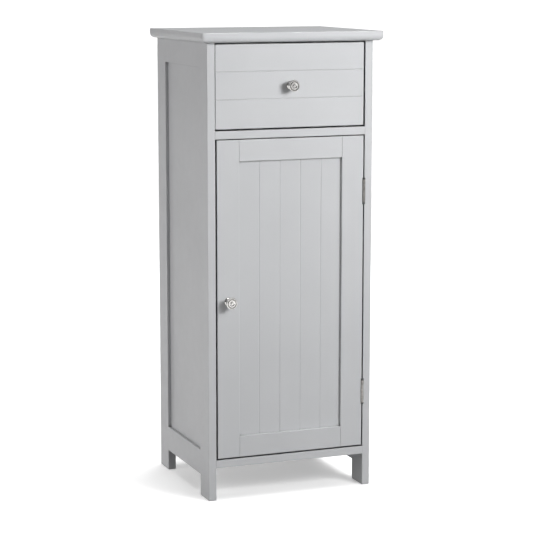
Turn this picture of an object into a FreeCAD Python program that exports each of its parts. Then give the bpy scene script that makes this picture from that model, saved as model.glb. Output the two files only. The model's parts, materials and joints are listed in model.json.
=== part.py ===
# Freestanding bathroom cabinet: one drawer over one framed door, on four legs.
# Millimetres, +Z up, front towards -Y, origin on the floor under the middle of the outline.
import FreeCAD
import Part
import Sketcher
import os

Vector = FreeCAD.Vector

doc = FreeCAD.newDocument("bathroom_cabinet")
sheet = doc.addObject("Spreadsheet::Sheet", "Dim")

DRIVING = {
    # Outline
    "overall_height": 870,
    "top_width": 358,
    "top_depth": 305,
    "top_thickness": 18,
    "top_lower_round": 10,
    "top_upper_round": 1.5,
    "top_corner_round": 5,
    "body_width": 328,
    "body_depth": 287,
    "board": 15,
    "eased_edge": 0.8,
    # Side frames
    "post_width": 48,
    "side_recess": 6,
    "tongue": 6,
    "side_groove": 7,
    "side_slack": 0.5,
    "low_rail_z": 40,
    "low_rail_height": 47,
    "high_rail_height": 45,
    # Fixed boards and back
    "floor_z": 61.5,
    "divider_z": 677,
    "back_sheet": 3,
    "back_rebate": 8,
    # Loose shelf
    "shelf_thickness": 12,
    "shelf_side_gap": 1.5,
    "shelf_front": 22,
    "shelf_rear_gap": 6,
    "peg_z": 366,
    "peg_pitch": 50,
    "peg_inset": 30,
    "peg_diameter": 5,
    "peg_bore": 9,
    # Flat-pack fittings
    "cam_diameter": 15,
    "cam_depth": 12,
    "cam_reach": 24,
    "cam_inset": 34,
    "cam_rail_inset": 70,
    "bolt_bore": 11,
    "bolt_diameter": 5,
    "bolt_channel": 7,
    "dowel_diameter": 8,
    "dowel_length": 30,
    "dowel_bore": 10,
    "dowel_inset": 13,
    # Door
    "door_gap_left": 3,
    "door_gap_right": 2.4,
    "door_gap_top": 1.7,
    "door_gap_bottom": 3,
    "door_stile": 43.5,
    "door_rail": 40,
    "door_recess": 5.5,
    "door_sheet": 5,
    "door_groove": 6.5,
    "door_vee_width": 2,
    "door_vee_depth": 0.6,
    # Hinges
    "hinge_inset": 105,
    "hinge_length": 42,
    "hinge_notch": 50,
    "hinge_leaf": 1,
    "hinge_reach": 14.6,
    "barrel_radius": 2.8,
    "pin_radius": 1.5,
    "pin_play": 0.06,
    "axis_forward": 0.3,
    "knuckle_gap": 0.4,
    "hinge_screw_y": 8.6,
    "hinge_screw_pitch": 26,
    # Knobs
    "knob_projection": 20,
    "knob_face": 21.6,
    "knob_base": 16.4,
    "knob_waist": 10,
    "knob_bore": 4,
    # Drawer
    "drawer_front_width": 294,
    "drawer_front_shift": -1.2,
    "drawer_gap_top": 2.8,
    "drawer_gap_bottom": 3,
    "drawer_vee_drop": 50.2,
    "drawer_vee_pitch": 50.6,
    "drawer_vee_width": 2.2,
    "drawer_vee_depth": 0.95,
    "drawer_board": 12,
    "drawer_wall_height": 112,
    "drawer_length": 242,
    "drawer_sheet": 3,
    "drawer_sheet_lift": 10,
    "drawer_groove": 6,
    # Drawer runners
    "runner_space": 12.5,
    "runner_lift": 8,
    "runner_start": 18,
    "runner_length": 250,
    "runner_metal": 1,
    "roller_radius": 9,
    "roller_width": 6.6,
    "axle_radius": 2,
    "axle_play": 0.06,
    "front_roller_y": 32,
    "rear_roller_y": 249,
}


class Size:
    """A length that keeps its number together with the sheet formula it comes from."""

    def __init__(self, value, text):
        self.value = value
        self.text = text

    def __add__(self, other):
        other = as_size(other)
        return Size(self.value + other.value, f"({self.text} + {other.text})")

    def __sub__(self, other):
        other = as_size(other)
        return Size(self.value - other.value, f"({self.text} - {other.text})")

    def __mul__(self, factor):
        return Size(self.value * factor, f"({self.text} * {factor})")

    def __truediv__(self, factor):
        return Size(self.value / factor, f"({self.text} / {factor})")

    def __neg__(self):
        return self * -1

    def __radd__(self, other):
        return as_size(other) + self

    def __rsub__(self, other):
        return as_size(other) - self

    __rmul__ = __mul__


def as_size(thing):
    if isinstance(thing, Size):
        return thing
    return Size(float(thing), f"{float(thing)}")


class Sizes:
    """The driving dimensions by name."""


dim = Sizes()
for row, (name, number) in enumerate(DRIVING.items(), start=1):
    sheet.set(f"A{row}", name)
    sheet.set(f"B{row}", str(number))
    sheet.setAlias(f"B{row}", name)
    setattr(dim, name, Size(float(number), f"Dim.{name}"))
doc.recompute()

# Positions that several pieces share, measured from the front plane, the middle and the floor
half = dim.body_width / 2
inner = half - dim.board
front_y = (dim.knob_projection - dim.body_depth) / 2
under_top = dim.overall_height - dim.top_thickness
back_y = dim.body_depth - dim.back_sheet
floor_top = dim.floor_z + dim.board
divider_top = dim.divider_z + dim.board
rear_post_y = dim.body_depth - dim.post_width
low_rail_top = dim.low_rail_z + dim.low_rail_height
high_rail_z = under_top - dim.high_rail_height


def bind(thing, path, size):
    """Ties one property to its sheet formula."""
    thing.setExpression(path, as_size(size).text)


def place(thing, position, turn=None):
    """Sets a piece at a cabinet position, bound to the sheet, with an optional rotation."""
    if turn is not None:
        thing.Placement = FreeCAD.Placement(Vector(0, 0, 0), turn)
    x, y, z = position
    bind(thing, "Placement.Base.x", x)
    bind(thing, "Placement.Base.y", front_y + y)
    bind(thing, "Placement.Base.z", z)


def facing(outward, sideways):
    """The rotation that takes a fitting's +Z to outward and its +X to sideways."""
    z = Vector(*outward)
    x = Vector(*sideways)
    return FreeCAD.Rotation(x, z.cross(x), z, "ZXY")


def rect(u0, v0, u1, v1):
    return ("poly", [(u0, v0), (u1, v0), (u1, v1), (u0, v1)])


def poly(points):
    return ("poly", points)


def disc(u, v, diameter):
    return ("disc", (u, v, diameter))


def cove(u, v, radius, toward_u, toward_v):
    return ("cove", (u, v, radius, toward_u, toward_v))


def fix(sketch, kind, geometry, point, size):
    """One coordinate of one sketch point, bound to the sheet."""
    size = as_size(size)
    index = sketch.addConstraint(Sketcher.Constraint(kind, geometry, point, size.value))
    sketch.setExpression(f"Constraints[{index}]", size.text)


def draw_poly(sketch, points):
    start = sketch.GeometryCount
    count = len(points)
    corners = [Vector(as_size(u).value, as_size(v).value, 0) for u, v in points]
    for i in range(count):
        sketch.addGeometry(Part.LineSegment(corners[i], corners[(i + 1) % count]), False)
    for i in range(count):
        following = start + (i + 1) % count
        sketch.addConstraint(Sketcher.Constraint("Coincident", start + i, 2, following, 1))
    for i, (u, v) in enumerate(points):
        fix(sketch, "DistanceX", start + i, 1, u)
        fix(sketch, "DistanceY", start + i, 1, v)


def draw_disc(sketch, circle):
    u, v, diameter = (as_size(part) for part in circle)
    index = sketch.GeometryCount
    sketch.addGeometry(Part.Circle(Vector(u.value, v.value, 0), Vector(0, 0, 1), diameter.value / 2), False)
    fix(sketch, "DistanceX", index, 3, u)
    fix(sketch, "DistanceY", index, 3, v)
    constraint = sketch.addConstraint(Sketcher.Constraint("Diameter", index, diameter.value))
    sketch.setExpression(f"Constraints[{constraint}]", diameter.text)


def draw_cove(sketch, outline):
    """A square corner with a hollow inner side, which takes a rounded corner off a board."""
    u, v, radius, toward_u, toward_v = outline
    ends = [(u, v + radius * toward_v), (u, v), (u + radius * toward_u, v)]
    above, corner, beside = [Vector(as_size(a).value, as_size(b).value, 0) for a, b in ends]
    middle = Vector(beside.x, above.y, 0)
    hollow = middle + (corner - middle).normalize() * radius.value
    first = sketch.addGeometry(Part.LineSegment(above, corner), False)
    second = sketch.addGeometry(Part.LineSegment(corner, beside), False)
    arc = sketch.addGeometry(Part.Arc(beside, hollow, above), False)
    arc_start = sketch.getPoint(arc, 1)
    near_end, far_end = (1, 2) if arc_start.distanceToPoint(beside) < 1e-6 else (2, 1)
    sketch.addConstraint(Sketcher.Constraint("Coincident", first, 2, second, 1))
    sketch.addConstraint(Sketcher.Constraint("Coincident", second, 2, arc, near_end))
    sketch.addConstraint(Sketcher.Constraint("Coincident", arc, far_end, first, 1))
    for geometry, point, (a, b) in zip((first, second, second), (1, 1, 2), ends):
        fix(sketch, "DistanceX", geometry, point, a)
        fix(sketch, "DistanceY", geometry, point, b)
    constraint = sketch.addConstraint(Sketcher.Constraint("Radius", arc, radius.value))
    sketch.setExpression(f"Constraints[{constraint}]", radius.text)


PLANES = {"x": "YZ_Plane", "y": "XZ_Plane", "z": "XY_Plane"}
ACROSS = {"x": (1, 2), "y": (0, 2), "z": (0, 1)}


class Piece:
    """A body drawn in cabinet coordinates round its own corner point."""

    def __init__(self, label, corner=(0, 0, 0)):
        self.corner = [as_size(part) for part in corner]
        self.body = doc.addObject("PartDesign::Body", label)
        self.body.Label = label
        place(self.body, self.corner)

    def sketch(self, axis, at, outlines):
        """Outlines on a plane square to one axis; coordinates are cabinet coordinates."""
        sketch = self.body.newObject("Sketcher::SketchObject", self.body.Name + "_sketch")
        plane = [item for item in self.body.Origin.OriginFeatures if item.Role == PLANES[axis]][0]
        sketch.AttachmentSupport = [(plane, "")]
        sketch.MapMode = "FlatFace"
        offset = as_size(at) - self.corner["xyz".index(axis)]
        if axis == "y":
            offset = -offset
        bind(sketch, "AttachmentOffset.Base.z", offset)
        first, second = ACROSS[axis]
        for kind, outline in outlines:
            if kind == "disc":
                u, v, diameter = outline
                draw_disc(sketch, (u - self.corner[first], v - self.corner[second], diameter))
            elif kind == "cove":
                u, v, *rest = outline
                draw_cove(sketch, (u - self.corner[first], v - self.corner[second], *rest))
            else:
                shifted = [(u - self.corner[first], v - self.corner[second]) for u, v in outline]
                draw_poly(sketch, shifted)
        return sketch

    def grow(self, axis, at, outlines, length, toward=1):
        """Adds material from a plane along one axis."""
        sketch = self.sketch(axis, at, outlines)
        pad = self.body.newObject("PartDesign::Pad", self.body.Name + "_pad")
        pad.Profile = sketch
        pad.Reversed = (toward < 0) != (axis == "y")
        bind(pad, "Length", length)
        doc.recompute()
        return self

    def cut(self, axis, at, outlines, depth, toward):
        """Takes material away from a plane along one axis."""
        before = self.body.Shape.Volume
        sketch = self.sketch(axis, at, outlines)
        pocket = self.body.newObject("PartDesign::Pocket", self.body.Name + "_pocket")
        pocket.Profile = sketch
        pocket.Reversed = (toward > 0) != (axis == "y")
        bind(pocket, "Length", depth)
        doc.recompute()
        if not self.body.Shape.Volume < before - 1e-6:
            raise RuntimeError(f"{self.body.Label}: a pocket removed nothing")
        return self

    def spin(self, outline):
        """A turned piece round its own Z axis; the outline gives radius and height."""
        sketch = self.sketch("y", self.corner[1], [poly(outline)])
        turned = self.body.newObject("PartDesign::Revolution", self.body.Name + "_turned")
        turned.Profile = sketch
        turned.ReferenceAxis = (sketch, ["V_Axis"])
        turned.Angle = 360
        doc.recompute()
        return self

    def ease(self, radius, wanted):
        """Rounds the edges whose middle point, in cabinet coordinates, passes the test."""
        base = self.body.Tip
        corner = Vector(*[part.value for part in self.corner])
        names = []
        for number, edge in enumerate(base.Shape.Edges, start=1):
            first, last = edge.ParameterRange
            middle = edge.valueAt((first + last) / 2) + corner
            if wanted(middle, edge):
                names.append(f"Edge{number}")
        if not names:
            raise RuntimeError(f"{self.body.Label}: no edge to round")
        fillet = self.body.newObject("PartDesign::Fillet", self.body.Name + "_round")
        fillet.Base = (base, names)
        bind(fillet, "Radius", radius)
        doc.recompute()
        return self


def board(label, x, y, z):
    """A plain board between two positions on each axis."""
    piece = Piece(label, (x[0], y[0], z[0]))
    piece.grow("z", z[0], [rect(x[0], y[0], x[1], y[1])], as_size(z[1]) - z[0])
    return piece


def near(a, b):
    return abs(a - as_size(b).value) < 0.01


parts = []


def keep(piece):
    parts.append(piece.body)
    return piece


def group(label, pattern, spots):
    """One node of equal fittings: links to a pattern piece, each at its own spot."""
    links = []
    for number, (position, outward, sideways) in enumerate(spots, start=1):
        link = doc.addObject("App::Link", f"{label}_{number}")
        link.LinkedObject = pattern.body
        place(link, position, facing(outward, sideways))
        links.append(link)
    bundle = doc.addObject("Part::Compound", label)
    bundle.Label = label
    bundle.Links = links
    parts.append(bundle)
    doc.recompute()
    return bundle


SIDES = {"left": -1, "right": 1}
LEFT, RIGHT, FRONT, BACK, DOWN, UP = (-1, 0, 0), (1, 0, 0), (0, -1, 0), (0, 1, 0), (0, 0, -1), (0, 0, 1)

# Positions of the fittings
panel_levels = (dim.floor_z + dim.board / 2, dim.divider_z + dim.board / 2)
panel_undersides = (dim.floor_z, dim.divider_z)
cam_rows = (dim.cam_inset, dim.body_depth - dim.cam_inset)
dowel_rows = (dim.dowel_inset, dim.body_depth - dim.dowel_inset - dim.back_sheet)
top_cam_rows = (dim.cam_rail_inset, dim.body_depth - dim.cam_rail_inset)
top_dowel_rows = (dim.cam_rail_inset + 32, dim.body_depth - dim.cam_rail_inset - 32)
top_cam_z = under_top - dim.cam_reach
peg_rows = (dim.peg_inset, dim.body_depth - dim.peg_inset)
peg_levels = (dim.peg_z - dim.peg_pitch, dim.peg_z, dim.peg_z + dim.peg_pitch)

runner_z = divider_top + dim.runner_lift
runner_rows = (dim.runner_start + 22, dim.runner_start + dim.runner_length - 8)
runner_screw_z = runner_z + 11
runner_pilot = 2.6

door_left = -inner + dim.door_gap_left
door_right = inner - dim.door_gap_right
door_low = floor_top + dim.door_gap_bottom
door_high = dim.divider_z - dim.door_gap_top
panel_left = door_left + dim.door_stile
panel_right = door_right - dim.door_stile
panel_low = door_low + dim.door_rail
panel_high = door_high - dim.door_rail
hinge_levels = {"lower": door_low + dim.hinge_inset, "upper": door_high - dim.hinge_inset}
hinge_x = inner - dim.door_gap_right / 2
hinge_y = -dim.axis_forward
hinge_screw_steps = (-dim.hinge_screw_pitch / 2, dim.hinge_screw_pitch / 2)
hinge_screw_rows = [level + step for level in hinge_levels.values() for step in hinge_screw_steps]
screw_pilot = 2.4
door_knob = (door_left + dim.door_stile / 2, (door_low + door_high) / 2 - 1.5)

drawer_low = divider_top + dim.drawer_gap_bottom
drawer_high = under_top - dim.drawer_gap_top
drawer_left = dim.drawer_front_shift - dim.drawer_front_width / 2
drawer_right = dim.drawer_front_shift + dim.drawer_front_width / 2
drawer_knob = (dim.drawer_front_shift, (drawer_low + drawer_high) / 2)
box_half = inner - dim.runner_space
box_low = runner_z + 8
box_high = box_low + dim.drawer_wall_height
box_front = dim.board
box_rear = dim.board + dim.drawer_length
drawer_screw_rows = (box_front + 60, box_front + 200)
drawer_screw_z = runner_z + 14.5
front_screws = [(x, z) for x in (-80, 80) for z in (box_low + 35, box_high - 20)]


# Worktop: rounded under its front and side edges and at its front corners, square along the back
def build_top():
    left = -dim.top_width / 2
    right = dim.top_width / 2
    front = dim.body_depth - dim.top_depth
    top = board("top_panel", (left, right), (front, dim.body_depth), (under_top, dim.overall_height))

    def lower_rim(middle, edge):
        return near(middle.z, under_top) and not near(middle.y, dim.body_depth)

    def upper_rim(middle, edge):
        return near(middle.z, dim.overall_height)

    top.ease(dim.top_lower_round, lower_rim)
    corners = [cove(x, front, dim.top_corner_round, toward, 1) for x, toward in ((left, 1), (right, -1))]
    top.cut("z", dim.overall_height, corners, dim.top_thickness, -1)
    top.ease(dim.top_upper_round, upper_rim)
    middles = [s * (half - dim.board / 2) for s in SIDES.values()]
    bolts = [disc(x, y, dim.bolt_diameter) for x in middles for y in top_cam_rows]
    pegs = [disc(x, y, dim.dowel_diameter) for x in middles for y in top_dowel_rows]
    top.cut("z", under_top, bolts, dim.bolt_bore, 1)
    top.cut("z", under_top, pegs, dim.dowel_bore, 1)
    keep(top)


# Posts: the legs, which are also the upright members of the side frames
def build_post(side, end):
    s = SIDES[side]
    x = (s * half, s * inner) if s < 0 else (s * inner, s * half)
    y = (0, dim.post_width) if end == "front" else (rear_post_y, dim.body_depth)
    post = board(f"{side}_{end}_post", x, y, (0, under_top))
    outer_face = s * half

    def corner_edge(middle, edge):
        upright = abs(middle.z - under_top.value / 2) < 1
        front_edge = end == "front" and near(middle.y, 0)
        outer_rear = end == "rear" and near(middle.y, dim.body_depth) and near(middle.x, outer_face)
        return upright and (front_edge or outer_rear)

    post.ease(dim.eased_edge, corner_edge)
    tongue_x = (s * (half - dim.side_recess), s * (half - dim.side_recess - dim.tongue))
    groove = rect(tongue_x[0], dim.low_rail_z, tongue_x[1], under_top)
    if end == "front":
        post.cut("y", dim.post_width, [groove], dim.side_groove, -1)
    else:
        post.cut("y", rear_post_y, [groove], dim.side_groove, 1)
        rebate = rect(s * inner, dim.floor_z, s * (inner + dim.back_rebate), under_top)
        post.cut("y", dim.body_depth, [rebate], dim.back_sheet, -1)
    row = 0 if end == "front" else 1
    bolts = [disc(cam_rows[row], z, dim.bolt_diameter) for z in panel_levels]
    pegs = [disc(dowel_rows[row], z, dim.dowel_diameter) for z in panel_levels]
    shelf = [disc(peg_rows[row], z, dim.peg_diameter) for z in peg_levels]
    post.cut("x", s * inner, bolts, dim.bolt_bore, s)
    post.cut("x", s * inner, pegs, dim.dowel_bore, s)
    post.cut("x", s * inner, shelf, dim.peg_bore, s)
    post.cut("x", s * inner, [disc(runner_rows[row], runner_screw_z, runner_pilot)], 11, s)
    if side == "right" and end == "front":
        notches = [barrel_notch(level, inner, inner + 1.9) for level in hinge_levels.values()]
        post.cut("y", 0, notches, 3.4, 1)
        pilots = [disc(dim.hinge_screw_y, z, screw_pilot) for z in hinge_screw_rows]
        post.cut("x", inner, pilots, 12, 1)
    keep(post)


def barrel_notch(level, x0, x1):
    """The nick in a front edge that makes room for a hinge barrel."""
    return rect(x0, level - dim.hinge_notch / 2, x1, level + dim.hinge_notch / 2)


# Side rails: tongues at both ends sit in the posts, a groove holds the side panel
def build_side_rail(side, level):
    s = SIDES[side]
    x = (s * half, s * inner) if s < 0 else (s * inner, s * half)
    y = (dim.post_width - dim.side_groove, rear_post_y + dim.side_groove)
    z = (dim.low_rail_z, low_rail_top) if level == "bottom" else (high_rail_z, under_top)
    rail = board(f"{side}_{level}_rail", x, y, z)
    tongue_out = s * (half - dim.side_recess)
    tongue_in = s * (half - dim.side_recess - dim.tongue)
    shoulders = []
    for y0, y1 in ((y[0], dim.post_width), (rear_post_y, y[1])):
        shoulders.append(rect(s * half, y0, tongue_out, y1))
        shoulders.append(rect(tongue_in, y0, s * inner, y1))
    rail.cut("z", z[1], shoulders, z[1] - z[0], -1)
    groove = rect(tongue_out, y[0], tongue_in, y[1])
    if level == "bottom":
        rail.cut("z", low_rail_top, [groove], dim.side_groove, -1)
    else:
        rail.cut("z", high_rail_z, [groove], dim.side_groove, 1)
        middle = s * (half - dim.board / 2)
        cams = [disc(row, top_cam_z, dim.cam_diameter) for row in top_cam_rows]
        channels = [disc(middle, row, dim.bolt_channel) for row in top_cam_rows]
        pegs = [disc(middle, row, dim.dowel_diameter) for row in top_dowel_rows]
        rail.cut("x", s * inner, cams, dim.cam_depth, s)
        rail.cut("z", under_top, channels, dim.cam_reach, -1)
        rail.cut("z", under_top, pegs, dim.dowel_length - dim.dowel_bore, -1)
    keep(rail)


# Side panels: set back outside, flush inside, with a tongue all round
def build_side_panel(side):
    s = SIDES[side]
    reach = dim.side_groove - dim.side_slack
    face = s * (half - dim.side_recess)
    step = s * (half - dim.side_recess - dim.tongue)
    front = dim.post_width - reach
    rear = rear_post_y + reach
    low = low_rail_top - reach
    high = high_rail_z + reach
    panel = Piece(f"{side}_side_panel", (face, front, low))
    panel.grow("x", face, [rect(front, low, rear, high)], dim.tongue, -s)
    gap = 0.2
    flush = rect(dim.post_width + gap, low_rail_top + gap, rear_post_y - gap, high_rail_z - gap)
    panel.grow("x", step, [flush], dim.board - dim.side_recess - dim.tongue, -s)
    keep(panel)


# Cupboard floor and drawer divider: fixed boards held by cams and dowels at both ends
def build_fixed_board(label, low):
    level = low + dim.board / 2
    panel = board(label, (-inner, inner), (0, back_y), (low, low + dim.board))

    def front_edge(middle, edge):
        return near(middle.y, 0) and near(middle.x, 0)

    panel.ease(dim.eased_edge, front_edge)
    cams = [disc(s * (inner - dim.cam_reach), y, dim.cam_diameter) for s in SIDES.values() for y in cam_rows]
    panel.cut("z", low, cams, dim.cam_depth, 1)
    for s in SIDES.values():
        panel.cut("x", s * inner, [disc(y, level, dim.bolt_channel) for y in cam_rows], dim.cam_reach, -s)
        pegs = [disc(y, level, dim.dowel_diameter) for y in dowel_rows]
        panel.cut("x", s * inner, pegs, dim.dowel_length - dim.dowel_bore, -s)
    keep(panel)


# Back sheet and loose shelf
def build_back_and_shelf():
    reach = inner + dim.back_rebate - 0.5
    keep(board("back_panel", (-reach, reach), (back_y, dim.body_depth), (dim.floor_z, under_top)))
    edge = inner - dim.shelf_side_gap
    low = dim.peg_z + dim.peg_diameter / 2
    rear = back_y - dim.shelf_rear_gap
    high = low + dim.shelf_thickness
    shelf = board("adjustable_shelf", (-edge, edge), (dim.shelf_front, rear), (low, high))

    def front_edge(middle, edge):
        return near(middle.y, dim.shelf_front) and near(middle.x, 0)

    shelf.ease(dim.eased_edge, front_edge)
    keep(shelf)


# Small fittings of the carcass, each drawn once and set out in groups
def build_carcass_fittings():
    peg = Piece("shelf_peg")
    r = dim.peg_diameter / 2
    peg.spin([(0, -dim.peg_bore), (r, -dim.peg_bore), (r, 0), (3.5, 0), (3.5, 1), (r, 1), (r, 8), (0, 8)])
    spots = []
    for s in SIDES.values():
        for y in peg_rows:
            spots.append(((s * inner, y, dim.peg_z), (-s, 0, 0), UP))
    group("shelf_pins", peg, spots)

    cam = Piece("cam_pattern")
    cam.grow("z", 0, [disc(0, 0, dim.cam_diameter)], dim.cam_depth, -1)
    half_slot = dim.bolt_channel / 2 + 0.3
    jaw = rect(-4, -dim.board / 2 - half_slot, dim.cam_diameter, -dim.board / 2 + half_slot)
    cam.cut("y", -half_slot, [jaw], half_slot * 2, 1)
    cam.cut("z", 0, [rect(-5, -0.8, 5, 0.8)], 1.8, -1)
    cam.cut("z", 0, [rect(-0.8, -5, 0.8, 5)], 1.8, -1)

    bolt = Piece("cam_bolt_pattern")
    r = dim.bolt_diameter / 2
    reach = dim.cam_reach
    thread = [(0, -dim.bolt_bore), (r, -dim.bolt_bore), (r, 0)]
    collar = [(3.2, 0), (3.2, 1.5), (2.5, 1.5)]
    neck = [(2.5, reach - 2), (1.7, reach - 1), (1.7, reach + 0.5)]
    head = [(3, reach + 1), (3, reach + 3), (0, reach + 3)]
    bolt.spin(thread + collar + neck + head)

    dowel = Piece("dowel_pattern")
    r = dim.dowel_diameter / 2
    short = dim.dowel_length - dim.dowel_bore - 1
    dowel.spin([(0, -dim.dowel_bore), (r - 1, -dim.dowel_bore), (r, 1 - dim.dowel_bore),
                (r, short - 1), (r - 1, short), (0, short)])

    cams = []
    bolts = []
    dowels = []
    for s in SIDES.values():
        toward_post = (s, 0, 0)
        inward = (-s, 0, 0)
        for low, level in zip(panel_undersides, panel_levels):
            for y in cam_rows:
                cams.append(((s * (inner - dim.cam_reach), y, low), DOWN, toward_post))
                bolts.append(((s * inner, y, level), inward, UP))
            for y in dowel_rows:
                dowels.append(((s * inner, y, level), inward, UP))
        middle = s * (half - dim.board / 2)
        for y in top_cam_rows:
            cams.append(((s * inner, y, top_cam_z), inward, UP))
            bolts.append(((middle, y, under_top), DOWN, RIGHT))
        for y in top_dowel_rows:
            dowels.append(((middle, y, under_top), DOWN, RIGHT))
    group("cam_locks", cam, cams)
    group("cam_bolts", bolt, bolts)
    group("carcass_dowels", dowel, dowels)

    nail = Piece("back_nail_pattern")
    nail.spin([(0, -16), (0.8, -15), (0.8, -0.8), (1.9, -0.8), (1.9, 0), (0, 0)])
    nails = []
    for s in SIDES.values():
        for i in range(6):
            height = dim.floor_z + 30 + (under_top - dim.floor_z - 60) * (i / 5)
            nails.append(((s * (inner + 4), dim.body_depth, height), BACK, UP))
    for level in panel_levels:
        for x in (-inner / 2, inner / 2):
            nails.append(((x, dim.body_depth, level), BACK, UP))
    group("back_nails", nail, nails)


# Magnetic catch under the divider and its plate on the door
def build_catch():
    x0 = -inner + 9
    x1 = x0 + 40
    y0 = dim.board + 2
    z0 = dim.divider_z - 13.5
    case = board("catch_case", (x0, x1), (y0, y0 + 16), (z0, dim.divider_z))
    case.ease(1, lambda middle, edge: near(middle.z, z0))
    case.cut("y", y0, [rect(x0 + 8, z0 + 2.5, x1 - 8, z0 + 11)], 12, 1)
    keep(case)
    keep(board("catch_magnet", (x0 + 9, x1 - 9), (y0 + 1, y0 + 12), (z0 + 4.2, z0 + 9.3)))
    poles = Piece("pole_plate_pattern")
    poles.grow("z", 0, [rect(x0 + 8.5, y0 - 0.4, x1 - 8.5, y0 + 11.5)], 1.4, 1)
    group("catch_poles", poles, [((0, 0, z0 + 2.7), UP, RIGHT), ((0, 0, z0 + 9.4), UP, RIGHT)])
    plate = board("strike_plate", (x0 + 6, x1 - 6), (dim.board, dim.board + 1.2), (z0 - 1.5, z0 + 11))
    plate.ease(2.5, lambda middle, edge: near(middle.y, dim.board + 0.6))
    keep(plate)


# Drawer runners: a channel on the cabinet side and a Z section under the drawer wall
def runner_x(side, u):
    return SIDES[side] * (inner - u)


def build_runner(side):
    metal = dim.runner_metal
    s = SIDES[side]
    start = dim.runner_start
    channel = Piece(f"{side}_cabinet_runner", (s * inner, start, runner_z))
    shelf = [(0, 0), (10.5, 0), (10.5, metal), (metal, metal)]
    lip = [(metal, 21.2), (8, 21.2), (8, 21.2 + metal), (0, 21.2 + metal)]
    section = [(runner_x(side, u), runner_z + z) for u, z in shelf + lip]
    channel.grow("y", start, [poly(section)], dim.runner_length)
    holes = [disc(y, runner_screw_z, 3.6) for y in runner_rows]
    channel.cut("x", s * inner, holes, metal, -s)
    keep(channel)

    slide = Piece(f"{side}_drawer_runner", (s * box_half, box_front + 2, box_low))
    track = [(12.5, 20.8), (2.5, 20.8), (2.5, 19.8), (11.5, 19.8)]
    foot = [(11.5, 7), (24.5, 7), (24.5, 8), (12.5, 8)]
    section = [(runner_x(side, u), runner_z + z) for u, z in track + foot]
    slide.grow("y", box_front + 2, [poly(section)], dim.drawer_length - 2)
    holes = [disc(y, drawer_screw_z, 3.2) for y in drawer_screw_rows]
    slide.cut("x", s * box_half, holes, metal, s)
    keep(slide)


def build_runner_fittings():
    axle = Piece("axle_pattern")
    r = dim.axle_radius
    axle.spin([(0, 0), (3.5, 0), (3.5, 1.2), (r, 1.2), (r, 8.4), (3.5, 8.4), (3.5, 9.2), (0, 9.2)])
    spin_r = dim.roller_radius
    bore = dim.axle_radius + dim.axle_play
    width = dim.roller_width
    face_ring = [(bore, 0), (6.5, 0), (6.5, 0.8), (8, 0.8), (8, 0)]
    tread = [(spin_r - 0.4, 0), (spin_r, 0.4), (spin_r, width - 0.4), (spin_r - 0.4, width)]
    wheel_outline = face_ring + tread + [(bore, width)]
    fixed_spots = []
    moving_spots = []
    front_z = runner_z + 10.5
    rear_z = runner_z + 10.3
    for side, s in SIDES.items():
        inward = (-s, 0, 0)
        outward = (s, 0, 0)
        fixed_spots.append(((runner_x(side, dim.runner_metal), dim.front_roller_y, front_z), inward, UP))
        moving_spots.append(((runner_x(side, 11.5), dim.rear_roller_y, rear_z), outward, UP))
        for end, u, y, z, turn in (("front", 2.5, dim.front_roller_y, front_z, inward),
                                   ("rear", 10, dim.rear_roller_y, rear_z, outward)):
            wheel = Piece(f"{side}_{end}_roller").spin(wheel_outline)
            place(wheel.body, (runner_x(side, u), y, z), facing(turn, UP))
            keep(wheel)
    group("cabinet_roller_axles", axle, fixed_spots)
    group("drawer_roller_axles", axle, moving_spots)

    screw = Piece("runner_screw_pattern")
    screw.spin([(0, -12), (1.3, -10.5), (1.3, 0), (3, 0), (3, 0.5), (2.2, 1.1), (0, 1.1)])
    spots = []
    for side, s in SIDES.items():
        for y in runner_rows:
            spots.append(((runner_x(side, dim.runner_metal), y, runner_screw_z), (-s, 0, 0), UP))
    group("cabinet_runner_screws", screw, spots)
    short = Piece("wall_screw_pattern")
    short.spin([(0, -10), (1.3, -9), (1.3, 0), (2.8, 0), (2.8, 0.4), (2, 0.9), (0, 0.9)])
    spots = []
    for side, s in SIDES.items():
        for y in drawer_screw_rows:
            spots.append(((runner_x(side, 11.5), y, drawer_screw_z), (s, 0, 0), UP))
    group("drawer_runner_screws", short, spots)


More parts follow.
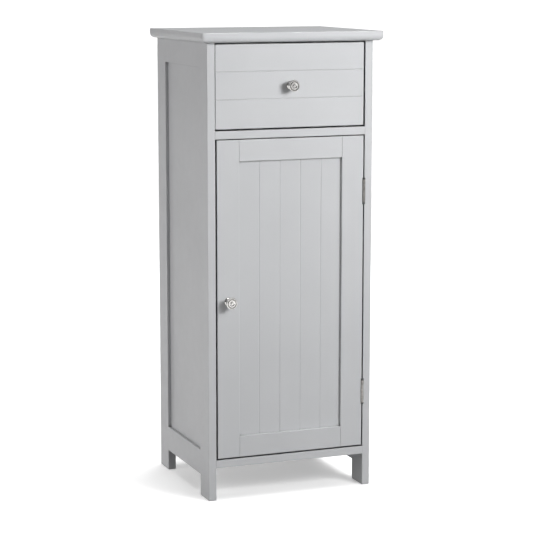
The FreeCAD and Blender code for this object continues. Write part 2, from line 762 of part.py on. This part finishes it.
# Door: two stiles, two rails and a grooved panel held in a groove all round
def build_door():
    thick = dim.board
    groove_y = (dim.door_recess, dim.door_recess + dim.door_sheet)
    groove = dim.door_groove

    def front_rim(middle, edge):
        return near(middle.y, 0)

    latch = board("door_latch_stile", (door_left, panel_left), (0, thick), (door_low, door_high))
    latch.ease(dim.eased_edge, front_rim)
    latch.cut("x", panel_left, [rect(groove_y[0], door_low, groove_y[1], door_high)], groove, -1)
    latch.cut("y", thick, [disc(door_knob[0], door_knob[1], dim.knob_bore)], thick, -1)
    keep(latch)

    hinge = board("door_hinge_stile", (panel_right, door_right), (0, thick), (door_low, door_high))
    hinge.ease(dim.eased_edge, front_rim)
    hinge.cut("x", panel_right, [rect(groove_y[0], door_low, groove_y[1], door_high)], groove, 1)
    notches = [barrel_notch(level, door_right - 1.9, door_right) for level in hinge_levels.values()]
    hinge.cut("y", 0, notches, 3.4, 1)
    pilots = [disc(dim.hinge_screw_y, z, screw_pilot) for z in hinge_screw_rows]
    hinge.cut("x", door_right, pilots, 14, -1)
    keep(hinge)

    for level, z in (("top", (panel_high, door_high)), ("bottom", (door_low, panel_low))):
        ends = (panel_left - groove, panel_right + groove)
        rail = board(f"door_{level}_rail", ends, (0, thick), z)
        shoulders = []
        for x0, x1 in ((ends[0], panel_left), (panel_right, ends[1])):
            shoulders.append(rect(x0, 0, x1, groove_y[0]))
            shoulders.append(rect(x0, groove_y[1], x1, thick))
        rail.cut("z", z[1], shoulders, z[1] - z[0], -1)
        rail.ease(dim.eased_edge, front_rim)
        slot = rect(ends[0], groove_y[0], ends[1], groove_y[1])
        if level == "top":
            rail.cut("z", panel_high, [slot], groove, 1)
        else:
            rail.cut("z", panel_low, [slot], groove, -1)
        keep(rail)

    reach = groove - dim.side_slack
    x0 = panel_left - reach
    x1 = panel_right + reach
    plank = (panel_right - panel_left) / 5
    outline = [(x0, groove_y[0])]
    for i in range(1, 5):
        centre = panel_left + plank * i
        outline.append((centre - dim.door_vee_width / 2, groove_y[0]))
        outline.append((centre, groove_y[0] + dim.door_vee_depth))
        outline.append((centre + dim.door_vee_width / 2, groove_y[0]))
    outline.extend([(x1, groove_y[0]), (x1, groove_y[1]), (x0, groove_y[1])])
    z0 = panel_low - reach
    z1 = panel_high + reach
    panel = Piece("door_panel", (x0, groove_y[0], z0))
    panel.grow("z", z0, [poly(outline)], z1 - z0)
    keep(panel)


# Butt hinges: rolled knuckles on thin leaves, three on the post and two on the door
def build_hinges():
    length = dim.hinge_length
    knuckle = length / 5
    gap = dim.knuckle_gap / 2
    reach = dim.barrel_radius + 0.35
    leaf_in = dim.door_gap_right / 2 - dim.hinge_leaf
    leaf_out = dim.door_gap_right / 2
    rear = dim.hinge_reach
    for end, level in hinge_levels.items():
        low = level - length / 2
        bands = [(low + knuckle * i, low + knuckle * (i + 1)) for i in range(5)]
        for owner, s, bore, open_bands in (("frame", 1, dim.pin_radius, (1, 3)),
                                           ("door", -1, dim.pin_radius + dim.pin_play, (0, 2, 4))):
            leaf = Piece(f"{end}_hinge_{owner}_leaf", (hinge_x, hinge_y, low))
            strip = rect(hinge_x + s * leaf_in, hinge_y + 1.9, hinge_x + s * leaf_out, rear)
            leaf.grow("z", low, [disc(hinge_x, hinge_y, dim.barrel_radius * 2)], length)
            leaf.grow("z", low, [strip], length)
            leaf.cut("z", low, [disc(hinge_x, hinge_y, bore * 2)], length, 1)
            slots = []
            for i in open_bands:
                z0 = bands[i][0] - (gap if i > 0 else 1)
                z1 = bands[i][1] + (gap if i < 4 else 1)
                slots.append(rect(hinge_x - 3.5, z0, hinge_x + 3.5, z1))
            leaf.cut("y", hinge_y - 3.5, slots, 3.5 + reach, 1)
            centres = [disc(dim.hinge_screw_y, level + step, 3) for step in hinge_screw_steps]
            sketch = leaf.sketch("x", hinge_x + s * leaf_in, centres)
            doc.recompute()
            hole = leaf.body.newObject("PartDesign::Hole", leaf.body.Name + "_holes")
            hole.Profile = sketch
            hole.Reversed = s > 0
            hole.Diameter = 3
            hole.DepthType = "Dimension"
            hole.Depth = 1.5
            hole.HoleCutType = "Countersink"
            hole.HoleCutCustomValues = True
            hole.HoleCutDiameter = 4.8
            hole.HoleCutCountersinkAngle = 90
            doc.recompute()
            keep(leaf)

    pin = Piece("hinge_pin_pattern")
    r = dim.pin_radius
    tail = length / 2
    pin.spin([(0, -tail - 1.4), (1.2, -tail - 1.4), (2.3, -tail - 0.5), (2.3, -tail), (r, -tail),
              (r, tail), (2.3, tail), (2.3, tail + 0.5), (1.2, tail + 1.4), (0, tail + 1.4)])
    group("hinge_pins", pin, [((hinge_x, hinge_y, level), UP, RIGHT) for level in hinge_levels.values()])
    screw = Piece("hinge_screw_pattern")
    screw.spin([(0, -12), (1.2, -10.5), (1.2, -1), (1.4, -1), (2.35, -0.05), (0, -0.05)])
    on_frame = [((hinge_x + leaf_in, dim.hinge_screw_y, z), LEFT, UP) for z in hinge_screw_rows]
    on_door = [((hinge_x - leaf_in, dim.hinge_screw_y, z), RIGHT, UP) for z in hinge_screw_rows]
    group("hinge_frame_screws", screw, on_frame)
    group("hinge_door_screws", screw, on_door)


# Turned knobs: flared foot, waist, wide rim with a stepped and dished face
def build_knob(label, x, y, z):
    knob = Piece(label)
    face = dim.knob_face / 2
    foot = dim.knob_base / 2
    waist = dim.knob_waist / 2
    height = dim.knob_projection
    bore = dim.knob_bore / 2
    flare = [(bore, 0), (foot, 0), (foot, 1.8), (waist + 0.6, 5), (waist, 8), (waist + 1.2, 11)]
    rim = [(face - 0.8, 14), (face, 15.6), (face, height - 1.8), (face - 0.7, height - 0.8)]
    groove = [(face - 1.7, height - 0.8), (face - 2.5, height - 2), (face - 3.3, height - 2)]
    ring = [(face - 4.2, height - 0.4), (face - 5.8, height - 0.4)]
    cup = [(face - 7, height - 1.5), (face - 8.2, height - 1.5)]
    button = [(face - 9.2, height), (0, height)]
    thread = [(0, 9), (bore, 9)]
    knob.spin(flare + rim + groove + ring + cup + button + thread)

    def turned_edge(low, high):
        def wanted(middle, edge):
            return low < middle.z < high and abs(middle.x * middle.x + middle.y * middle.y) > 2
        return wanted

    knob.ease(0.45, turned_edge(height.value - 2.5, height.value + 1))
    knob.ease(1.2, turned_edge(1, 16.5))
    place(knob.body, (x, y, z), facing(FRONT, RIGHT))
    keep(knob)


def build_knob_screw(label, x, y, z, length):
    screw = Piece(label)
    r = dim.knob_bore / 2
    screw.spin([(0, -length), (r, -length), (r, 0), (4, 0), (4, 1.2), (2.6, 2.4), (0, 2.4)])
    place(screw.body, (x, y, z), facing(BACK, RIGHT))
    keep(screw)


# Drawer: a four-sided box on runners with a grooved front screwed on
def build_drawer():
    thick = dim.board
    wall = dim.drawer_board
    outline = [(0, drawer_low), (thick, drawer_low), (thick, drawer_high), (0, drawer_high)]
    for i in range(2):
        centre = drawer_high - dim.drawer_vee_drop - dim.drawer_vee_pitch * i
        outline.append((0, centre + dim.drawer_vee_width / 2))
        outline.append((dim.drawer_vee_depth, centre))
        outline.append((0, centre - dim.drawer_vee_width / 2))
    front = Piece("drawer_front", (drawer_left, 0, drawer_low))
    front.grow("x", drawer_left, [poly(outline)], dim.drawer_front_width)

    def front_rim(middle, edge):
        ends = near(middle.z, drawer_low) or near(middle.z, drawer_high)
        sides = near(middle.x, drawer_left) or near(middle.x, drawer_right)
        return near(middle.y, 0) and (ends or sides)

    front.ease(dim.eased_edge, front_rim)
    front.cut("y", thick, [disc(drawer_knob[0], drawer_knob[1], dim.knob_bore)], thick, -1)
    front.cut("y", thick, [disc(x, z, 2.6) for x, z in front_screws], 11, -1)
    keep(front)

    floor_z = box_low + dim.drawer_sheet_lift
    groove = dim.drawer_groove
    inside = box_half - wall
    corner_rows = (box_front + wall / 2, box_rear - wall / 2)
    corner_levels = (box_low + 25, box_high - 25)
    for side, s in SIDES.items():
        x = (-box_half, -inside) if s < 0 else (inside, box_half)
        piece = board(f"drawer_{side}_wall", x, (box_front, box_rear), (box_low, box_high))
        slot = rect(box_front, floor_z, box_rear, floor_z + dim.drawer_sheet)
        piece.cut("x", s * inside, [slot], groove, s)
        holes = [disc(y, z, 4) for y in corner_rows for z in corner_levels]
        piece.cut("x", s * box_half, holes, wall, -s)
        pilots = [disc(y, drawer_screw_z, runner_pilot) for y in drawer_screw_rows]
        piece.cut("x", s * box_half, pilots, 10, -s)
        keep(piece)

    near_end = ("drawer_inner_front", (box_front, box_front + wall), 1)
    far_end = ("drawer_back", (box_rear - wall, box_rear), -1)
    for (label, y, s), row in zip((near_end, far_end), corner_rows):
        piece = board(label, (-inside, inside), y, (box_low, box_high))
        slot = rect(-inside, floor_z, inside, floor_z + dim.drawer_sheet)
        inner_face = y[1] if s > 0 else y[0]
        piece.cut("y", inner_face, [slot], groove, -s)
        for end in SIDES.values():
            piece.cut("x", end * inside, [disc(row, z, 4) for z in corner_levels], 28, -end)
        if s > 0:
            piece.cut("y", y[1], [disc(drawer_knob[0], drawer_knob[1], dim.knob_bore)], wall, -1)
            piece.cut("y", y[1], [disc(x, z, 3.6) for x, z in front_screws], wall, -1)
        keep(piece)

    slack = dim.side_slack
    reach = inside + groove - slack
    y = (box_front + wall - groove + slack, box_rear - wall + groove - slack)
    keep(board("drawer_bottom", (-reach, reach), y, (floor_z, floor_z + dim.drawer_sheet)))

    corner_screw = Piece("corner_screw_pattern")
    corner_screw.spin([(0, -39), (2, -37.5), (2, -0.3), (0, -0.3)])
    spots = []
    for s in SIDES.values():
        for row in corner_rows:
            for z in corner_levels:
                spots.append(((s * box_half, row, z), (s, 0, 0), UP))
    group("drawer_corner_screws", corner_screw, spots)

    front_screw = Piece("front_screw_pattern")
    shank = [(0, -22), (1.3, -21), (1.3, -12), (1.75, -11.9), (1.75, 0)]
    front_screw.spin(shank + [(3.5, 0), (3.5, 0.8), (2, 1.9), (0, 1.9)])
    spots = [((x, box_front + wall, z), BACK, RIGHT) for x, z in front_screws]
    group("drawer_front_screws", front_screw, spots)


def check_and_write():
    """Stops at any unsound piece, then writes one file per node."""
    doc.recompute()
    for item in doc.Objects:
        if "Invalid" in item.State or "Error" in item.State:
            raise RuntimeError(f"{item.Label}: {item.State}")
    os.makedirs("parts", exist_ok=True)
    for item in parts:
        shape = item.Shape
        if shape.isNull() or not shape.isValid():
            raise RuntimeError(f"{item.Label}: shape not valid")
        shape.exportStep(f"parts/{item.Label}.step")


build_top()
for side_name in SIDES:
    build_post(side_name, "front")
    build_post(side_name, "rear")
    build_side_rail(side_name, "top")
    build_side_rail(side_name, "bottom")
    build_side_panel(side_name)
build_fixed_board("bottom_panel", dim.floor_z)
build_fixed_board("drawer_divider", dim.divider_z)
build_back_and_shelf()
build_carcass_fittings()
build_catch()
for side_name in SIDES:
    build_runner(side_name)
build_runner_fittings()
build_door()
build_hinges()
build_knob("door_knob", door_knob[0], 0, door_knob[1])
build_knob_screw("door_knob_screw", door_knob[0], dim.board, door_knob[1], 23)
build_drawer()
build_knob("drawer_knob", drawer_knob[0], 0, drawer_knob[1])
build_knob_screw("drawer_knob_screw", drawer_knob[0], dim.board + dim.drawer_board, drawer_knob[1], 35)
check_and_write()
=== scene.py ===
import json
import math

import bpy
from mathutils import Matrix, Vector

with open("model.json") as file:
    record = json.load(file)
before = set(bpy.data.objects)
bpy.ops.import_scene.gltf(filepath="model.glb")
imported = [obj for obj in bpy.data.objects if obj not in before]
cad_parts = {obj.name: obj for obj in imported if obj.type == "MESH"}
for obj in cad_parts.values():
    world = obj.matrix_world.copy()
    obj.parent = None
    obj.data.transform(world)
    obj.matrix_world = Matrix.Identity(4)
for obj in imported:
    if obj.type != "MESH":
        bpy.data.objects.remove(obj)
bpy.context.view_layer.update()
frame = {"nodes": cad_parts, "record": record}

# Camera: the photograph's viewpoint, in metres, degrees and pixels
IMAGE_SIZE = 533
CAMERA_AT = (-1.2882, -3.2927, 0.9850)
CAMERA_YAW = 21.42
CAMERA_PITCH = 9.156
FOCAL_PIXELS = 1852.6
SENSOR_MM = 36.0
CLIP_NEAR = 0.01
CLIP_FAR = 300.0

# Lamps, in watts
KEY_WATTS = 21.5
FRONT_WATTS = 19.6
FILL_WATTS = 24.3
FILL_TINT = (1.0, 0.985, 0.98)
BACK_WATTS = 22.0

# Overhead glow: strength, width in degrees, and tilt in degrees about X and Y
OVERHEAD = 1.84
OVERHEAD_WIDTH = 42.0
OVERHEAD_TILT = (-4.0, 9.0)

# Surroundings: strength above and below the horizon, and half the band between them
SKY = 0.16
BELOW = 0.05
HORIZON_BAND = 0.25

# Studio floor and wall, in metres from the cabinet, and the strength of their own glow
FLOOR_LEVEL = -0.0005
FLOOR_REACH = 20.0
WALL_REACH = 24.0
WALL_HEIGHT = 14.0
GLOW_START = 0.5
GLOW_END = 3.0
NEAR_GLOW = 0.34
FLOOR_GLOW = 0.40
WALL_GLOW = 1.0

WHITE = (1.0, 1.0, 1.0)


# Node helpers

class Shader:
    """A Principled material with short ways to add texture nodes in metres."""

    def __init__(self, name):
        self.material = bpy.data.materials.new(name)
        self.material.use_nodes = True
        self.tree = self.material.node_tree
        self.surface = self.tree.nodes["Principled BSDF"]
        self.place = self.node("ShaderNodeTexCoord").outputs["Object"]

    def node(self, kind, **settings):
        made = self.tree.nodes.new(kind)
        for key, value in settings.items():
            setattr(made, key, value)
        return made

    def link(self, source, target):
        self.tree.links.new(source, target)

    def set(self, **values):
        """Plain values for the surface's sockets, with underscores for the spaces in their names."""
        for key, value in values.items():
            self.surface.inputs[key.replace("_", " ")].default_value = value

    def stretched(self, scale):
        """Object coordinates stretched per axis."""
        mapping = self.node("ShaderNodeMapping")
        mapping.inputs["Scale"].default_value = scale
        self.link(self.place, mapping.inputs["Vector"])
        return mapping.outputs["Vector"]

    def noise(self, scale, detail=2.0, roughness=0.5, place=None):
        made = self.node("ShaderNodeTexNoise")
        made.inputs["Scale"].default_value = scale
        made.inputs["Detail"].default_value = detail
        made.inputs["Roughness"].default_value = roughness
        self.link(place or self.place, made.inputs["Vector"])
        return made.outputs["Fac"]

    def ramp(self, source, low, high, start=0.3, end=0.7):
        """Maps a texture value to a range."""
        made = self.node("ShaderNodeMapRange")
        made.inputs["From Min"].default_value = start
        made.inputs["From Max"].default_value = end
        made.inputs["To Min"].default_value = low
        made.inputs["To Max"].default_value = high
        self.link(source, made.inputs["Value"])
        return made.outputs["Result"]

    def colours(self, source, dark, light, start=0.3, end=0.7):
        """Maps a texture value to the colours between two."""
        made = self.node("ShaderNodeValToRGB")
        made.color_ramp.elements[0].position = start
        made.color_ramp.elements[0].color = (*dark, 1.0)
        made.color_ramp.elements[1].position = end
        made.color_ramp.elements[1].color = (*light, 1.0)
        self.link(source, made.inputs["Fac"])
        return made.outputs["Color"]

    def multiply(self, first, second):
        made = self.node("ShaderNodeMix", data_type="RGBA", blend_type="MULTIPLY")
        made.inputs["Factor"].default_value = 1.0
        self.link(first, made.inputs["A"])
        self.link(second, made.inputs["B"])
        return made.outputs["Result"]

    def painted_crevice_shade(self, reach, start=0.05, end=0.66):
        """Painted shade: grey that darkens the colour in narrow gaps and inner corners, where shade
        falls.
        """
        made = self.node("ShaderNodeAmbientOcclusion", samples=8)
        made.inputs["Distance"].default_value = reach
        return self.colours(made.outputs["AO"], (0.09, 0.09, 0.09), WHITE, start, end)

    def bump(self, source, height, under=None):
        """Relief of the given height in metres, over an earlier bump if there is one."""
        made = self.node("ShaderNodeBump")
        made.inputs["Distance"].default_value = height
        made.inputs["Strength"].default_value = 1.0
        self.link(source, made.inputs["Height"])
        if under is not None:
            self.link(under, made.inputs["Normal"])
        return made.outputs["Normal"]

    def colour(self, source):
        self.link(source, self.surface.inputs["Base Color"])

    def dullness(self, source):
        self.link(source, self.surface.inputs["Roughness"])

    def relief(self, source):
        self.link(source, self.surface.inputs["Normal"])


# Materials

def lacquer():
    """Satin light grey lacquer on fibreboard: slight cloudiness, fine specks and orange peel."""
    paint = Shader("grey_lacquer")
    cloud = paint.noise(5.0, detail=3.0)
    tone = paint.colours(cloud, (0.560, 0.568, 0.582), (0.592, 0.600, 0.614))
    dots = paint.noise(900.0, detail=1.0)
    specks = paint.colours(dots, (0.95, 0.95, 0.95), WHITE, 0.25, 0.42)
    coat = paint.multiply(tone, specks)
    # The colour is darkened by painted shade in narrow gaps and inner corners.
    paint.colour(paint.multiply(coat, paint.painted_crevice_shade(0.010)))
    paint.dullness(paint.ramp(paint.noise(60.0, detail=4.0), 0.36, 0.48))
    peel = paint.bump(paint.noise(420.0, detail=2.0), 0.00003)
    paint.relief(paint.bump(paint.noise(2600.0, detail=1.0), 0.000012, under=peel))
    paint.set(IOR=1.48)
    return paint.material


def foil():
    """Pale matt foil on the drawer box, with a faint printed grain along the boards."""
    skin = Shader("drawer_foil")
    grain = skin.noise(60.0, detail=6.0, roughness=0.65, place=skin.stretched((6.0, 1.0, 12.0)))
    skin.colour(skin.colours(grain, (0.585, 0.585, 0.575), (0.650, 0.650, 0.640)))
    skin.dullness(skin.ramp(skin.noise(90.0, detail=3.0), 0.45, 0.58))
    skin.relief(skin.bump(grain, 0.00003))
    return skin.material


def hardboard():
    """Thin painted hardboard: smooth face with a pressed, slightly fibrous texture."""
    sheet = Shader("painted_hardboard")
    fibre = sheet.noise(240.0, detail=8.0, roughness=0.7)
    sheet.colour(sheet.colours(fibre, (0.500, 0.503, 0.508), (0.575, 0.578, 0.583)))
    sheet.dullness(sheet.ramp(sheet.noise(40.0, detail=4.0), 0.52, 0.66))
    sheet.relief(sheet.bump(fibre, 0.00010))
    return sheet.material


def chrome():
    """Polished chrome plate with hair-fine polishing marks, and painted shade darkening its grooves."""
    plate = Shader("polished_chrome")
    marks = plate.noise(900.0, detail=3.0, place=plate.stretched((1.0, 0.15, 1.0)))
    tone = plate.colours(plate.noise(30.0), (0.57, 0.56, 0.545), (0.65, 0.64, 0.625))
    # Painted shade darkens the colour in the knob's grooves.
    plate.colour(plate.multiply(tone, plate.painted_crevice_shade(0.004, 0.25, 0.85)))
    plate.dullness(plate.ramp(marks, 0.04, 0.09))
    plate.relief(plate.bump(marks, 0.000002))
    plate.set(Metallic=1.0)
    return plate.material


def nickel():
    """Dull nickel-plated pressed steel with a soft drawn grain."""
    plate = Shader("nickel_plate")
    grain = plate.noise(1500.0, detail=4.0, place=plate.stretched((1.0, 1.0, 0.04)))
    blotches = plate.noise(140.0, detail=4.0)
    plate.colour(plate.colours(blotches, (0.20, 0.195, 0.185), (0.34, 0.33, 0.315)))
    plate.dullness(plate.ramp(grain, 0.34, 0.50))
    plate.relief(plate.bump(grain, 0.00001))
    plate.set(Metallic=1.0)
    return plate.material


def zinc():
    """Bright zinc plate: faint bluish and yellowish patches over a dull grain."""
    plate = Shader("zinc_plate")
    patches = plate.noise(400.0, detail=3.0)
    plate.colour(plate.colours(patches, (0.50, 0.52, 0.55), (0.66, 0.64, 0.58)))
    plate.dullness(plate.ramp(plate.noise(900.0, detail=3.0), 0.28, 0.48))
    plate.relief(plate.bump(plate.noise(2500.0, detail=2.0), 0.000015))
    plate.set(Metallic=1.0)
    return plate.material


def casting():
    """Bare zinc die casting: grey, slightly mottled and pitted."""
    metal = Shader("zinc_casting")
    mottle = metal.noise(700.0, detail=4.0)
    metal.colour(metal.colours(mottle, (0.34, 0.34, 0.34), (0.48, 0.48, 0.48)))
    metal.dullness(metal.ramp(metal.noise(1200.0, detail=3.0), 0.42, 0.62))
    metal.relief(metal.bump(metal.noise(1800.0, detail=3.0), 0.00005))
    metal.set(Metallic=0.9)
    return metal.material


def beech():
    """Raw beech with short flecks along the dowel."""
    wood = Shader("raw_beech")
    grain = wood.noise(500.0, detail=5.0, place=wood.stretched((0.15, 1.0, 1.0)))
    wood.colour(wood.colours(grain, (0.47, 0.31, 0.17), (0.66, 0.49, 0.31)))
    wood.dullness(wood.ramp(grain, 0.60, 0.75))
    wood.relief(wood.bump(grain, 0.00008))
    return wood.material


def enamel():
    """White baked enamel on the rolled steel runners."""
    coat = Shader("white_enamel")
    cloud = coat.noise(30.0, detail=3.0)
    coat.colour(coat.colours(cloud, (0.74, 0.74, 0.72), (0.80, 0.80, 0.785)))
    coat.dullness(coat.ramp(coat.noise(200.0, detail=3.0), 0.26, 0.38))
    coat.relief(coat.bump(coat.noise(700.0, detail=2.0), 0.00004))
    return coat.material


def nylon():
    """Natural nylon, slightly waxy."""
    wax = Shader("natural_nylon")
    cloud = wax.noise(300.0, detail=3.0)
    wax.colour(wax.colours(cloud, (0.66, 0.65, 0.60), (0.76, 0.75, 0.71)))
    wax.dullness(wax.ramp(wax.noise(500.0), 0.38, 0.50))
    wax.relief(wax.bump(wax.noise(1500.0), 0.00002))
    wax.set(Subsurface_Weight=0.12, Subsurface_Radius=(0.002, 0.0018, 0.0014))
    return wax.material


def moulded():
    """White moulded plastic with a fine spark texture."""
    skin = Shader("white_moulding")
    cloud = skin.noise(80.0, detail=3.0)
    skin.colour(skin.colours(cloud, (0.68, 0.68, 0.67), (0.75, 0.75, 0.74)))
    skin.dullness(skin.ramp(skin.noise(600.0, detail=2.0), 0.42, 0.55))
    skin.relief(skin.bump(skin.noise(1800.0, detail=2.0), 0.00003))
    return skin.material


def ferrite():
    """Dark sintered magnet."""
    block = Shader("dark_ferrite")
    grit = block.noise(900.0, detail=4.0)
    block.colour(block.colours(grit, (0.020, 0.020, 0.021), (0.060, 0.060, 0.062)))
    block.dullness(block.ramp(block.noise(700.0), 0.55, 0.75))
    block.relief(block.bump(block.noise(1600.0, detail=3.0), 0.00004))
    return block.material


FINISHES = {
    "painted_board": lacquer,
    "drawer_board": foil,
    "hardboard": hardboard,
    "polished_chrome": chrome,
    "nickel_steel": nickel,
    "zinc_steel": zinc,
    "zinc_casting": casting,
    "beech": beech,
    "runner_enamel": enamel,
    "nylon": nylon,
    "catch_plastic": moulded,
    "ferrite": ferrite,
}


def dress_nodes():
    """Gives every CAD node the finish of its material slot."""
    made = {name: finish() for name, finish in FINISHES.items()}
    for row in frame["record"]["subparts"]:
        node = frame["nodes"][row["node"]]
        for holder in node.material_slots:
            holder.material = made[row["material_slot"]]


# Stage, light and camera

def add_stage(name, points, faces, paper):
    """A surface of the studio, which lights the cabinet by reflection at most."""
    mesh = bpy.data.meshes.new(name)
    mesh.from_pydata(points, [], faces)
    mesh.materials.append(paper.material)
    piece = bpy.data.objects.new(name, mesh)
    bpy.context.scene.collection.objects.link(piece)
    piece.visible_diffuse = False
    return piece


def studio_paper(name):
    """Matt white paper with a glow of its own, faintly uneven."""
    paper = Shader(name)
    cloud = paper.noise(2.0, detail=2.0)
    paper.colour(paper.colours(cloud, (0.93, 0.93, 0.93), (0.96, 0.96, 0.96)))
    paper.dullness(paper.ramp(paper.noise(8.0), 0.85, 0.95))
    paper.set(Emission_Color=(*WHITE, 1.0), Specular_IOR_Level=0.1)
    return paper


def add_studio():
    """A wide pale floor, brighter farther out, and a pale wall round it far away."""
    corners = [(-1, -1), (1, -1), (1, 1), (-1, 1)]
    low = [(x * FLOOR_REACH, y * FLOOR_REACH, FLOOR_LEVEL) for x, y in corners]
    high = [(x * WALL_REACH, y * WALL_REACH, WALL_HEIGHT) for x, y in corners]
    ground = studio_paper("floor_paper")
    away = ground.node("ShaderNodeVectorMath", operation="LENGTH")
    ground.link(ground.place, away.inputs[0])
    glow = ground.ramp(away.outputs["Value"], NEAR_GLOW, FLOOR_GLOW, GLOW_START, GLOW_END)
    ground.link(glow, ground.surface.inputs["Emission Strength"])
    add_stage("studio_floor", low, [(0, 1, 2, 3)], ground)
    upright = studio_paper("wall_paper")
    upright.set(Emission_Strength=WALL_GLOW)
    sides = [(i, i + 4, (i + 1) % 4 + 4, (i + 1) % 4) for i in range(4)]
    wall = add_stage("studio_wall", low + high, sides, upright)
    wall.visible_glossy = False
    wall.visible_shadow = False


def add_area(name, at, aim, size, watts, tint=WHITE):
    """A rectangular lamp aimed at a point and not mirrored in the chrome."""
    data = bpy.data.lights.new(name, "AREA")
    data.shape = "RECTANGLE"
    data.size, data.size_y = size
    data.energy = watts
    data.color = tint
    lamp = bpy.data.objects.new(name, data)
    lamp.location = at
    lamp.rotation_euler = (Vector(aim) - Vector(at)).to_track_quat("-Z", "Y").to_euler()
    lamp.visible_glossy = False
    bpy.context.scene.collection.objects.link(lamp)


def add_lights():
    """A soft key and a broad panel at the right front, fills at the left and the back, a glow above."""
    add_area("key_softbox", (0.72, -1.42, 1.18), (-0.70, -0.13, 1.04), (0.6, 0.6), KEY_WATTS)
    add_area("front_panel", (0.7, -2.6, 1.05), (0.0, -0.13, 0.10), (2.4, 1.3), FRONT_WATTS)
    add_area("left_fill", (-2.3, 0.0, 0.62), (-0.16, 0.0, 0.60), (1.6, 1.8), FILL_WATTS, FILL_TINT)
    add_area("back_fill", (1.5, 2.2, 1.5), (0.0, 0.15, 0.45), (1.8, 1.4), BACK_WATTS)
    glow = bpy.data.lights.new("overhead_glow", "SUN")
    glow.energy = OVERHEAD
    glow.angle = math.radians(OVERHEAD_WIDTH)
    lamp = bpy.data.objects.new("overhead_glow", glow)
    lamp.rotation_euler = (math.radians(OVERHEAD_TILT[0]), math.radians(OVERHEAD_TILT[1]), 0.0)
    bpy.context.scene.collection.objects.link(lamp)


def add_surroundings():
    """Dim light from all round, darker below the horizon."""
    world = bpy.data.worlds.new("studio")
    world.use_nodes = True
    nodes = world.node_tree.nodes
    links = world.node_tree.links
    direction = nodes.new("ShaderNodeTexCoord")
    split = nodes.new("ShaderNodeSeparateXYZ")
    shade = nodes.new("ShaderNodeMapRange")
    shade.inputs["From Min"].default_value = -HORIZON_BAND
    shade.inputs["From Max"].default_value = HORIZON_BAND
    shade.inputs["To Min"].default_value = BELOW
    shade.inputs["To Max"].default_value = SKY
    links.new(direction.outputs["Generated"], split.inputs["Vector"])
    links.new(split.outputs["Z"], shade.inputs["Value"])
    links.new(shade.outputs["Result"], nodes["Background"].inputs["Strength"])
    nodes["Background"].inputs["Color"].default_value = (*WHITE, 1.0)
    bpy.context.scene.world = world


def add_camera():
    """The photograph's camera, and colours shown as they are."""
    data = bpy.data.cameras.new("photo_view")
    data.sensor_width = SENSOR_MM
    data.lens = FOCAL_PIXELS / IMAGE_SIZE * SENSOR_MM
    data.clip_start = CLIP_NEAR
    data.clip_end = CLIP_FAR
    camera = bpy.data.objects.new("photo_view", data)
    camera.location = CAMERA_AT
    camera.rotation_euler = (math.radians(90.0 - CAMERA_PITCH), 0.0, math.radians(-CAMERA_YAW))
    bpy.context.scene.collection.objects.link(camera)
    bpy.context.scene.camera = camera
    bpy.context.scene.view_settings.view_transform = "Standard"


dress_nodes()
add_studio()
add_lights()
add_surroundings()
add_camera()
